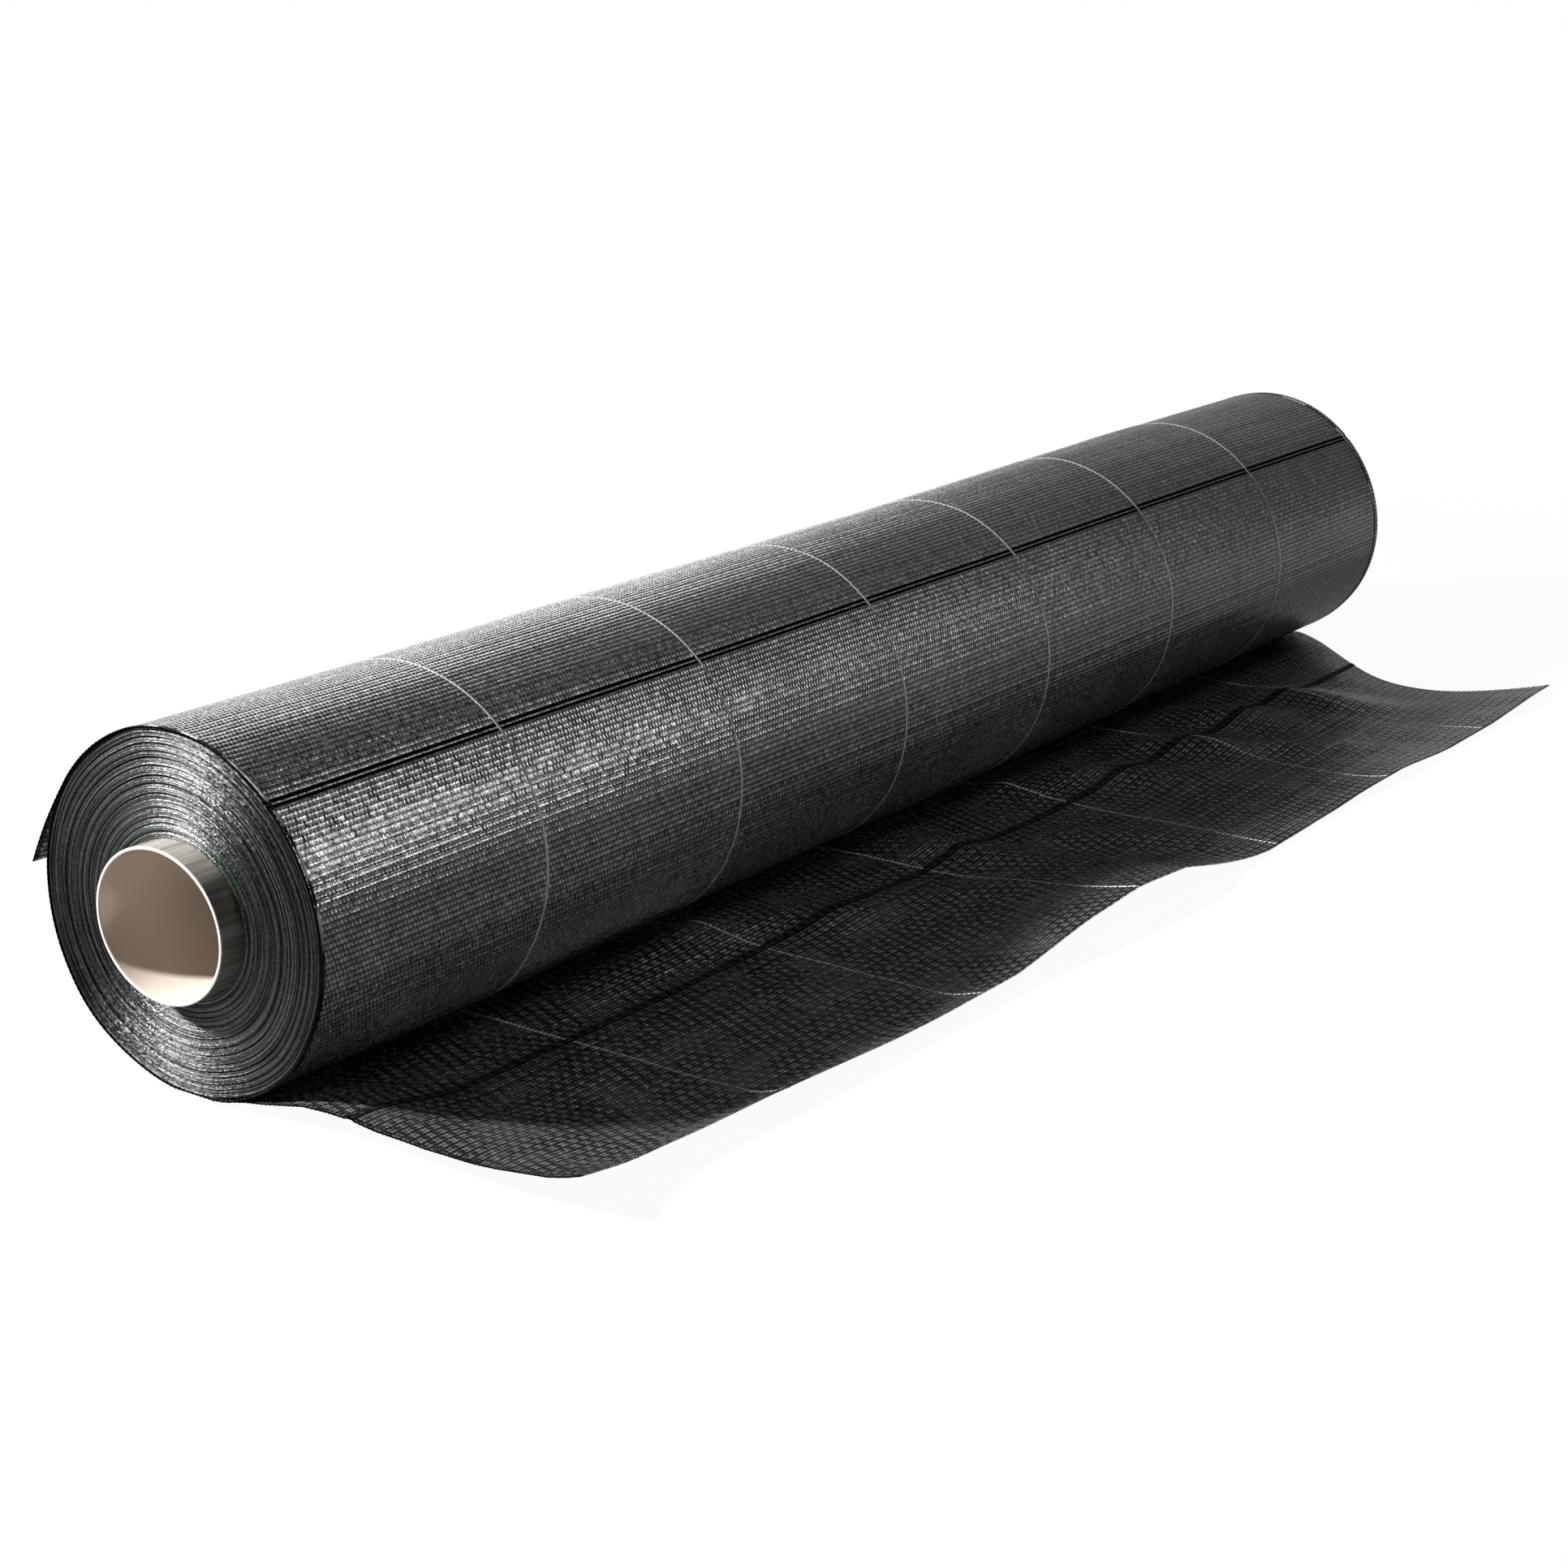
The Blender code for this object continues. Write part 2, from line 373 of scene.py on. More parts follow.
def makeWeave(name, fabric):
    # flat tapes in plain weave: narrow warp round the roll, wide weft along it
    material, tree, shader = newMaterial(name)
    uv = addNode(tree, "ShaderNodeUVMap", uv_map="web").outputs[0]
    across, along = separate(tree, uv)[:2]
    away = calc(tree, "ABSOLUTE", along)
    warp = calc(tree, "DIVIDE", across, cloth["warpPitch"])
    weft = calc(tree, "DIVIDE", calc(tree, "SUBTRACT", along, fabric["lineHalf"]), cloth["ribPitch"])
    warpCell, weftCell = calc(tree, "FLOOR", warp), calc(tree, "FLOOR", weft)
    warpUp = calc(tree, "FLOORED_MODULO", calc(tree, "ADD", warpCell, weftCell), 2.0)
    weftUp = calc(tree, "SUBTRACT", 1.0, warpUp)

    # place in the tape's own width, from -1 to 1
    warpSide = centred(tree, calc(tree, "FRACT", warp))
    weftSide = centred(tree, calc(tree, "FRACT", weft))
    warpEdge = calc(tree, "POWER", calc(tree, "ABSOLUTE", warpSide), 3.0)
    weftEdge = calc(tree, "POWER", calc(tree, "ABSOLUTE", weftSide), 1.5)

    # every tape lies at its own small slant
    chances = chancesOf(tree, warpCell, weftCell)[1]
    tapeChance = chanceOf(tree, weftCell)
    leans = [product(tree, calc(tree, "SUBTRACT", chance, 0.5), weave["lean"])
             for chance in (chances[0], chances[1], tapeChance)]

    # slopes of the tape on top, as the normal of the weave
    slopeAcross = calc(tree, "ADD", product(tree, warpSide, weftUp, weave["weftBend"]), leans[0])
    slopeAlong = calc(tree, "ADD", product(tree, weftSide, warpUp, weave["warpBend"]),
                      calc(tree, "ADD", leans[1], leans[2]))
    slopes = [calc(tree, "MULTIPLY_ADD", slope, 0.5, 0.5) for slope in (slopeAcross, slopeAlong)]
    turned = addNode(tree, "ShaderNodeNormalMap", space="TANGENT", uv_map="web")
    tree.links.new(combine(tree, *slopes, 1.0), turned.inputs["Color"])
    tree.links.new(turned.outputs[0], shader.inputs["Normal"])

    # every tape is uneven along its length, and the cloth is rubbed in slow patches
    tapePlace = calc(tree, "DIVIDE", across, weave["unevenLength"])
    tapePlace = combine(tree, tapePlace, product(tree, weftCell, weave["unevenStep"]))
    unevenTape = remap(tree, noise(tree, tapePlace, 1.0, 1.0), 0.3, 0.7, 0.0, 1.0)
    spread = weighted(tree, unevenTape, 0.55, chances[2])
    patches = noise(tree, uv, 9.0, 3.0, 0.55)
    streaks = noise(tree, uv, (5.0, 160.0, 1.0), 3.0, 0.6)
    bands = noise(tree, uv, (110.0, 6.0, 1.0), 2.0, 0.6)
    inLine = within(tree, away, fabric["lineHalf"], weave["lineBlur"])
    if fabric["lineRibHalf"] > 0:
        rib = within(tree, away, fabric["lineRibHalf"], weave["lineBlur"])
        inLine = product(tree, inLine, calc(tree, "SUBTRACT", 1.0, rib))

    # tone of each spot, with painted shade: none in the gaps between the tapes, less on the deeper warp
    paintedGapShade = calc(tree, "MAXIMUM", product(tree, warpEdge, 0.8), weftEdge)
    fromSelvedge = calc(tree, "MINIMUM", across, calc(tree, "SUBTRACT", webWidth, across))
    toneAndPaintedShade = product(
        tree,
        calc(tree, "SUBTRACT", 1.0, paintedGapShade),
        remap(tree, warpUp, 0.0, 1.0, 1.0, 1 - weave["paintedWarpShade"]),
        remap(tree, spread, 0.1, 0.9, 0.60, 1.15),
        remap(tree, tapeChance, 0.0, 1.0, 0.90, 1.10),
        remap(tree, bands, 0.3, 0.7, 0.82, 1.15),
        dashLight(tree, uv, across, weft, fabric),
        remap(tree, fromSelvedge, *weave["selvedgeShadeBand"], 0.0, 1.0),
    )
    # painted light: by its strength the free end's weave is painted paler than the roll's
    paintedPaleness = 1 + 0.25 * (fabric["strength"] - 1)
    tone = product(tree, toneAndPaintedShade, remap(tree, patches, 0.3, 0.7, 0.65 * paintedPaleness, paintedPaleness))
    colour = mixColour(tree, tone, weave["dark"], weave["light"])
    tree.links.new(mixColour(tree, inLine, colour, weave["lineColour"]), shader.inputs["Base Color"])
    rough = remap(tree, weighted(tree, streaks, 0.5, chances[2]), 0.25, 0.75, *weave["roughness"])
    rough = calc(tree, "ADD", rough, product(tree, inLine, weave["lineRoughness"]))
    tree.links.new(rough, shader.inputs["Roughness"])
    lineShine = remap(tree, inLine, 0.0, 1.0, 1.0, fabric["lineGloss"])
    gloss = product(tree, toneAndPaintedShade, lineShine, weave["gloss"] * fabric["strength"])
    tree.links.new(gloss, shader.inputs["Specular IOR Level"])
    shader.inputs["IOR"].default_value = weave["glossIor"]
    return material


edges = {
    "dark": (0.002, 0.002, 0.0023),
    "light": (0.012, 0.012, 0.0123),
    "green": (0.006, 0.017, 0.007),
    "greenReach": 0.017,  # how far from the core the turns look green
    "fleckScale": (2400.0, 34.0),  # flecks to a metre of radius and to a radian
    "threadPitch": 0.00038,  # threads along the turns, and pieces of them to a radian
    "threadPieces": 60.0,
    "threadTilt": 0.35,
    "threadTwist": 0.19,
    "roughness": 0.60,
    "alongTurn": 0.84,
    "glossIor": 2.0,
    "gapShade": 0.20,
    "hollowShadeDepth": (0.0009, 0.0019),  # painted shade: the shine fades between the turns' edges
    "turnShine": (0.30, 1.45),  # least and most shine from turn to turn, along a turn, and in the flecks
    "driftShine": (0.45, 1.0),
    "fleckShine": (0.55, 1.3),
}


def makeTurnEdges():
    # selvedges of the wound turns, seen on the end faces
    material, tree, shader = newMaterial("turnEdges")
    place = objectPlace(tree)
    along, aside, height = separate(tree, place)
    rise = calc(tree, "SUBTRACT", height, axisHeight)
    radius = distance(tree, rise, aside)
    angle = calc(tree, "ARCTAN2", aside, rise)
    byRadius, byAngle = edges["fleckScale"]
    ring = combine(tree, product(tree, radius, byRadius), product(tree, angle, byAngle))
    flecks = noise(tree, ring, 1.0, 2.0, 0.6)
    tone = weighted(tree, flecks, 0.7, noise(tree, place, 60.0))
    colour = mixColour(tree, remap(tree, tone, 0.35, 0.70, 0.0, 1.0), edges["dark"], edges["light"])
    nearCore = remap(tree, radius, coreHigh.y, coreHigh.y + edges["greenReach"], 0.8, 0.0, smooth=True)
    tree.links.new(mixColour(tree, nearCore, colour, edges["green"]), shader.inputs["Base Color"])
    shader.inputs["Roughness"].default_value = edges["roughness"]
    shader.inputs["Anisotropic"].default_value = edges["alongTurn"]
    shader.inputs["Anisotropic Rotation"].default_value = 0.25
    shader.inputs["IOR"].default_value = edges["glossIor"]
    turnwise = addNode(tree, "ShaderNodeTangent", direction_type="RADIAL", axis="X")
    tree.links.new(turnwise.outputs[0], shader.inputs["Tangent"])

    # painted shade: the shine is dimmed in a dark gap beside every turn and deeper between the turns'
    # edges; it also varies at random from turn to turn
    depth = calc(tree, "SUBTRACT", webWidth / 2, calc(tree, "ABSOLUTE", along))
    counted = addNode(tree, "ShaderNodeUVMap", uv_map="winding").outputs[0]
    winding = separate(tree, counted)[0]
    inTurn = calc(tree, "ABSOLUTE", centred(tree, calc(tree, "FRACT", winding)))
    paintedGapShade = calc(tree, "POWER", inTurn, 2.0)
    turnChance = chanceOf(tree, calc(tree, "FLOOR", winding))
    drift = noise(tree, counted, (0.8, 1.6, 1.0), 2.0, 0.6)
    shine = product(
        tree,
        remap(tree, paintedGapShade, 0.0, 1.0, 1.0, edges["gapShade"]),
        remap(tree, depth, *edges["hollowShadeDepth"], 1.0, 0.15, smooth=True),
        remap(tree, turnChance, 0.0, 1.0, *edges["turnShine"]),
        remap(tree, drift, 0.38, 0.58, *edges["driftShine"]),
        remap(tree, flecks, 0.35, 0.65, *edges["fleckShine"]),
    )
    tree.links.new(shine, shader.inputs["Specular IOR Level"])

    # each tape edge is a round thread along its turn: it tilts along the radius and twists along the turn
    threadTurn = calc(tree, "FLOOR", calc(tree, "DIVIDE", radius, edges["threadPitch"]))
    threadPiece = calc(tree, "FLOOR", product(tree, angle, edges["threadPieces"]))
    chance, chances = chancesOf(tree, threadTurn, threadPiece)
    tilt = product(tree, centred(tree, chance), edges["threadTilt"])
    twist = product(tree, centred(tree, chances[1]), edges["threadTwist"])
    sideways, upward = calc(tree, "DIVIDE", aside, radius), calc(tree, "DIVIDE", rise, radius)
    leanAside = calc(tree, "SUBTRACT", product(tree, sideways, tilt), product(tree, upward, twist))
    leanUp = calc(tree, "ADD", product(tree, upward, tilt), product(tree, sideways, twist))
    turned = addNode(tree, "ShaderNodeVectorTransform", vector_type="VECTOR", convert_from="OBJECT",
                     convert_to="WORLD")
    tree.links.new(combine(tree, 0.0, leanAside, leanUp), turned.inputs[0])
    normal = addNode(tree, "ShaderNodeVectorMath", operation="ADD")
    tree.links.new(addNode(tree, "ShaderNodeNewGeometry").outputs["Normal"], normal.inputs[0])
    tree.links.new(turned.outputs[0], normal.inputs[1])
    unit = addNode(tree, "ShaderNodeVectorMath", operation="NORMALIZE")
    tree.links.new(normal.outputs[0], unit.inputs[0])
    tree.links.new(unit.outputs[0], shader.inputs["Normal"])
    return material


coreShape = {"wall": 0.0018, "rimRound": 0.0006, "segments": 144, "lengthSteps": 24, "oval": 0.040}
corePlastic = {
    "insideLitLight": (0.56, 0.49, 0.43),
    "insideLitDark": (0.50, 0.43, 0.37),
    "outsideShadedLight": (0.36, 0.345, 0.32),
    "outsideShadedDark": (0.17, 0.15, 0.12),
    "rim": (0.62, 0.59, 0.58),
    "roughness": (0.10, 0.20),
}


def makeCorePlastic():
    # extruded tube of one plastic, smooth inside and streaked outside, painted paler inside as painted
    # light and darker outside as painted shade; bright where it is cut
    material, tree, shader = newMaterial("corePlastic")
    place = objectPlace(tree)
    along, aside, height = separate(tree, place)
    rise = calc(tree, "DIVIDE", calc(tree, "SUBTRACT", height, axisHeight), 1 - coreShape["oval"])
    radius = distance(tree, rise, calc(tree, "DIVIDE", aside, 1 + coreShape["oval"]))
    lines = noise(tree, place, (12.0, 300.0, 300.0), 3.0, 0.6)
    soft = remap(tree, noise(tree, place, 22.0), 0.35, 0.65, 0.0, 1.0)
    # one plastic: painted light makes the inside paler, painted shade makes the outside darker
    inside = mixColour(tree, soft, corePlastic["insideLitDark"], corePlastic["insideLitLight"])
    streaky = remap(tree, lines, 0.36, 0.66, 0.0, 1.0)
    outside = mixColour(tree, streaky, corePlastic["outsideShadedDark"], corePlastic["outsideShadedLight"])
    middle = coreHigh.y - coreShape["wall"] / 2
    outward = remap(tree, radius, middle - 0.0001, middle + 0.0001, 0.0, 1.0)
    reach = calc(tree, "ABSOLUTE", along)
    cutEnd = product(tree, remap(tree, reach, coreHigh.x - 0.0007, coreHigh.x - 0.0003, 0.0, 1.0),
                     remap(tree, radius, coreHigh.y - 0.0011, coreHigh.y - 0.0007, 0.0, 1.0))
    colour = mixColour(tree, cutEnd, mixColour(tree, outward, inside, outside), corePlastic["rim"])
    tree.links.new(colour, shader.inputs["Base Color"])
    tree.links.new(remap(tree, lines, 0.3, 0.7, *corePlastic["roughness"]), shader.inputs["Roughness"])
    shader.inputs["IOR"].default_value = 1.6
    addBump(tree, shader, product(tree, lines, outward), 0.3, 0.00006)
    return material


tape = {
    "dark": (0.70, 0.70, 0.70),
    "light": (0.97, 0.97, 0.96),
    "roughness": 0.4,
    "shine": (0.7, 0.03),  # where it is bare, and where threads cover it
    "selvedgeBand": (0.012, 0.008),  # it sinks between the edge threads this far from a selvedge
    "coveredThere": 0.97,
    "paintedShadeOnTop": 0.62,
    "paintedShadeOutward": 0.3,
}


def makeMarkerTape():
    # pale tapes woven in as guide lines
    material, tree, shader = newMaterial("markerTape")
    place = objectPlace(tree)
    along, aside, height = separate(tree, place)
    uneven = noise(tree, place, 700.0, 2.0, 0.6)
    colour = mixColour(tree, remap(tree, uneven, 0.3, 0.7, 0.0, 1.0), tape["dark"], tape["light"])
    # at the selvedges the tape is mostly hidden under the edge threads
    farIn, farOut = (webWidth / 2 - band for band in tape["selvedgeBand"])
    atSelvedge = remap(tree, calc(tree, "ABSOLUTE", along), farIn, farOut, 0.0, 1.0)
    patches = remap(tree, noise(tree, place, 55.0, 2.0, 0.6), 0.50, 0.62, 1.0, 0.0)
    onFront = product(tree, remap(tree, aside, 0.015, 0.0, 0.0, 1.0),
                      remap(tree, height, 0.085, 0.105, 0.0, 1.0))
    leastHidden = remap(tree, onFront, 0.0, 1.0, tape["coveredThere"], 0.0)
    hiddenAndPaintedShade = product(tree, atSelvedge, calc(tree, "MAXIMUM", patches, leastHidden))
    # painted shade: on top of the roll and toward the cut edge, where the key lamp lights it, the tape is
    # darkened toward the weave's dark
    hiddenAndPaintedShade = calc(tree, "MAXIMUM", hiddenAndPaintedShade, remap(tree, height, 0.100, 0.124, 0.0, tape["paintedShadeOnTop"]))
    hiddenAndPaintedShade = calc(tree, "MAXIMUM", hiddenAndPaintedShade, remap(tree, aside, -0.10, -0.16, 0.0, tape["paintedShadeOutward"]))
    tree.links.new(mixColour(tree, hiddenAndPaintedShade, colour, weave["dark"]), shader.inputs["Base Color"])
    tree.links.new(remap(tree, hiddenAndPaintedShade, 0.0, 1.0, *tape["shine"]), shader.inputs["Specular IOR Level"])
    shader.inputs["Roughness"].default_value = tape["roughness"]
    addBump(tree, shader, uneven, 0.6, 0.0001)
    return material


rollWeave = makeWeave("rollWeave", rollFabric)
freeWeave = makeWeave("freeWeave", freeFabric)
turnEdges = makeTurnEdges()
coreFinish = makeCorePlastic()
markerTape = makeMarkerTape()
print("materials made")


# Core

def ovalRadius(radius, angle):
    return radius * (1 - coreShape["oval"] * np.cos(2 * angle))


def coreProfile():
    # section of the wall: outer side, far rim, inner side, near rim
    bend = coreShape["rimRound"]
    outside, inside = coreHigh.y - bend, coreHigh.y - coreShape["wall"] + bend
    low, high = coreLow.x + bend, coreHigh.x - bend
    corners = ((low, outside), (high, outside), (high, inside), (low, inside))
    profile = []
    for quarter, (x, radius) in enumerate(corners):
        first = math.pi - quarter * math.pi / 2
        for turn in np.linspace(first, first - math.pi / 2, 4):
            profile.append((x + bend * math.cos(turn), radius + bend * math.sin(turn)))
        nextX = corners[(quarter + 1) % 4][0]
        if nextX != x:
            wall = radius + bend * math.sin(turn)
            steps = np.linspace(x, nextX, coreShape["lengthSteps"] + 1)[1:-1]
            profile.extend((place, wall) for place in steps)
    return profile


def makeCore():
    angles = np.linspace(0, 2 * math.pi, coreShape["segments"], endpoint=False)
    places = []
    for x, radius in coreProfile():
        y, z = roundPlace(ovalRadius(radius, angles), angles)
        places.extend(np.stack([np.full_like(y, x), y, z], axis=-1).tolist())
    around = coreShape["segments"]
    faces = []
    for first in range(0, len(places), around):
        second = (first + around) % len(places)
        for step in range(around):
            after = (step + 1) % around
            faces.append((first + step, first + after, second + after, second + step))
    core = addMesh("coreTube", places, faces, coreFinish)
    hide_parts("core_tube")
    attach(core, "core")


makeCore()
print("core made")


# Wound turns, with every selvedge on the end faces

turns = {
    "count": 55,
    "stepsInTurn": 4,
    "angleSteps": 256,
    "crown": 0.00045,  # relief of the end faces: round edges, uneven turns and deeper grooves
    "uneven": 0.00040,
    "stepEase": 0.25,  # the rim steps over a ply's end within this angle
    "rimGap": 0.0001,
    "rimDepth": 0.0010,
    "wallStart": 0.0050,
    "wallGap": 0.0032,
    "grooves": (3, 7, 10, 15, 19, 22, 27, 31, 36, 40, 43, 47, 50, 52, 54),
    "grooveDepth": 0.0022,
    "weldGap": 0.000005,
}


def turnDepth(winding, part, seed):
    # how far the web's edge lies back from the end face, along the winding
    slow = valueNoise(winding * 2.6, np.zeros_like(winding) + 0.5, seed)
    steady = valueNoise(np.floor(winding) + 0.5, np.zeros_like(winding) + 3.5, seed + 1)
    depth = turns["uneven"] * (0.6 * slow + 0.6 * steady + 1.0)
    for groove in turns["grooves"]:
        fade = 0.55 + 0.45 * valueNoise(winding * 1.3, np.zeros_like(winding) + groove, seed + 2)
        near = smoothStep(1.4 - np.abs(winding - groove - 0.5) * 2.6)
        depth = depth + near * fade * turns["grooveDepth"]
    return depth + turns["crown"] * (2 * part - 1) ** 2


def rimRadius(across, angle):
    # the last turn lies against the outer ply in front, and against the inner one at the back
    behind = smoothStep((inner["tuck"] - angle) / turns["stepEase"] + 1)
    behind = behind + smoothStep((angle - outer["start"]) / turns["stepEase"] + 1)
    under = cloth["thickness"] + turns["rimGap"] + behind * (cloth["thickness"] + cloth["layerGap"])
    return rollRadius - under + rollLumps(across, angle) - nearClearance(across, angle)


def endFace(winding, part, angle, end):
    # places of one end face, turn by turn from the bore to the rim
    signed = (angle + math.pi) % (2 * math.pi) - math.pi
    rim = rimRadius(np.full_like(angle, end * webWidth), signed)
    hollow = ovalRadius(coreHigh.y + cloth["layerGap"], signed)
    pitch = (rim - hollow) / turns["count"]
    radius = np.clip(hollow + pitch * winding, hollow, rim)
    y, z = roundPlace(radius, angle)
    depth = turnDepth(winding, part, 40 + 10 * end)
    edge = np.minimum(smoothStep((radius - hollow) / pitch), smoothStep((rim - radius) / pitch))
    inward = depth * edge + (1 - edge) * turns["rimDepth"]
    x = farX - inward if end else nearX + inward
    return np.stack([x, y, z], axis=-1).reshape(-1, 3).tolist()


def makeTurns():
    steps, around = turns["stepsInTurn"], turns["angleSteps"]
    column = np.arange(-steps, turns["count"] * steps + 1)[None, :]
    turnShare = np.arange(around + 1)[:, None] / around
    winding = column / steps + turnShare
    part = (column / steps) % 1.0 + np.zeros_like(winding)
    angle = 2 * math.pi * turnShare + np.zeros_like(winding)
    near = np.arange(winding.size).reshape(winding.shape)
    far = near + winding.size
    nearFaces, farFaces = gridFaces(*winding.shape), gridFaces(*winding.shape, first=winding.size)
    vertices = endFace(winding, part, angle, 0) + endFace(winding, part, angle, 1)
    faces = nearFaces[:, ::-1].tolist() + farFaces.tolist()
    # between the ends the wall stands back, clear of the plies
    rings = [near[:, -1]]
    for x in (nearX + turns["wallStart"], farX - turns["wallStart"]):
        rings.append(len(vertices) + np.arange(around + 1))
        wall = rollRadius - turns["wallGap"] + np.zeros(around + 1)
        y, z = roundPlace(wall, 2 * math.pi * turnShare[:, 0])
        vertices.extend(np.stack([np.full_like(y, x), y, z], axis=-1).tolist())
    rings.append(far[:, -1])
    # the last strip is the bore, so it runs from the near end to the far one
    for first, second in (*zip(rings[:-1], rings[1:]), (far[:, 0], near[:, 0])):
        strip = np.stack([first[:-1], first[1:], second[1:], second[:-1]], axis=-1)
        faces.extend(strip.tolist())
    piece = addMesh("woundTurns", vertices, faces, turnEdges)
    counted = np.zeros((len(vertices), 2))
    counted[:2 * winding.size] = np.tile(np.stack([winding.ravel(), angle.ravel()], axis=-1), (2, 1))
    addMap(piece.data, "winding", counted)
    weld(piece.data)
    piece.data.set_sharp_from_angle(angle=math.radians(75.0))
    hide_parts("wound_pack")
    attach(piece, "roll")


def weld(mesh):
    # joins the winding's seam and drops the empty faces at bore and rim
    work = bmesh.new()
    work.from_mesh(mesh)
    bmesh.ops.remove_doubles(work, verts=work.verts, dist=turns["weldGap"])
    bmesh.ops.dissolve_degenerate(work, edges=work.edges, dist=turns["weldGap"])
    work.to_mesh(mesh)
    work.free()


# Outer ply of the last turn, and its loose tail

outer = {
    "start": math.radians(164.0),
    "seam": math.radians(-32.0),  # where the tail's own piece takes over, out of sight
    "tailAngle": math.radians(-54.0),
    "tailLength": 0.048,
    "tailBend": 0.250,
    "edgeUneven": 0.0006,
    "edgeUnevenBand": 0.03,
    "edgeLift": 0.0004,
    "edgeLiftBand": 0.012,
}


def outerProfile(along):
    # y, z and outward direction of the outer ply, by the distance along it from its start
    toTail = rollRadius * (outer["start"] - outer["tailAngle"])
    angle = outer["start"] - np.minimum(along, toTail) / rollRadius
    y, z = roundPlace(rollRadius, angle)
    outY, outZ = -np.sin(angle), np.cos(angle)
    turned = np.maximum(along - toTail, 0.0) / outer["tailBend"]
    forward = outer["tailBend"] * np.sin(turned)
    drop = outer["tailBend"] * (1 - np.cos(turned))
    slope = -outer["tailAngle"]
    y = y + forward * math.cos(slope) - drop * math.sin(slope)
    z = z - forward * math.sin(slope) - drop * math.cos(slope)
    lean = angle - turned
    return y, z, np.where(turned > 0, -np.sin(lean), outY), np.where(turned > 0, np.cos(lean), outZ), angle


def outerPlaces(across, along, rise):
    y, z, outY, outZ, angle = outerProfile(along)
    lift = rise + rollLumps(across, angle) - nearClearance(across, angle)
    lift = lift + outer["edgeLift"] * smoothStep(1 - across / outer["edgeLiftBand"])
    uneven = outer["edgeUneven"] * valueNoise(along * 40.0, along * 0.0 + 0.5, 21)
    endShift = uneven * smoothStep(1 - across / outer["edgeUnevenBand"])
    return np.stack([nearX + across + endShift, y + outY * lift, z + outZ * lift], axis=-1)


def makeOuterPiece(name, start, end):
    along, across = clothGrid(start, end)
    lineAt = rollRadius * (outer["start"] - rollFabric["lineAngle"])
    fromLine = along - lineAt + 0.00035 * valueNoise(across * 7.0, along * 25.0, 31)
    rise = cloth["ribHeight"] * (ribWave(fromLine, rollFabric) - 1)
    return makeCloth(name, outerPlaces(across, along, rise), across, fromLine, rollWeave)


seamAlong = rollRadius * (outer["start"] - outer["seam"])
hingeAlong = rollRadius * (outer["start"] - outer["tailAngle"])
outerPly = makeOuterPiece("outerPly", 0.0, seamAlong)
outerTail = makeOuterPiece("outerTail", seamAlong, hingeAlong + outer["tailLength"])
print("outer ply and tail made")


# Inner ply: bare at the back, under the roll, and out in front as the free end

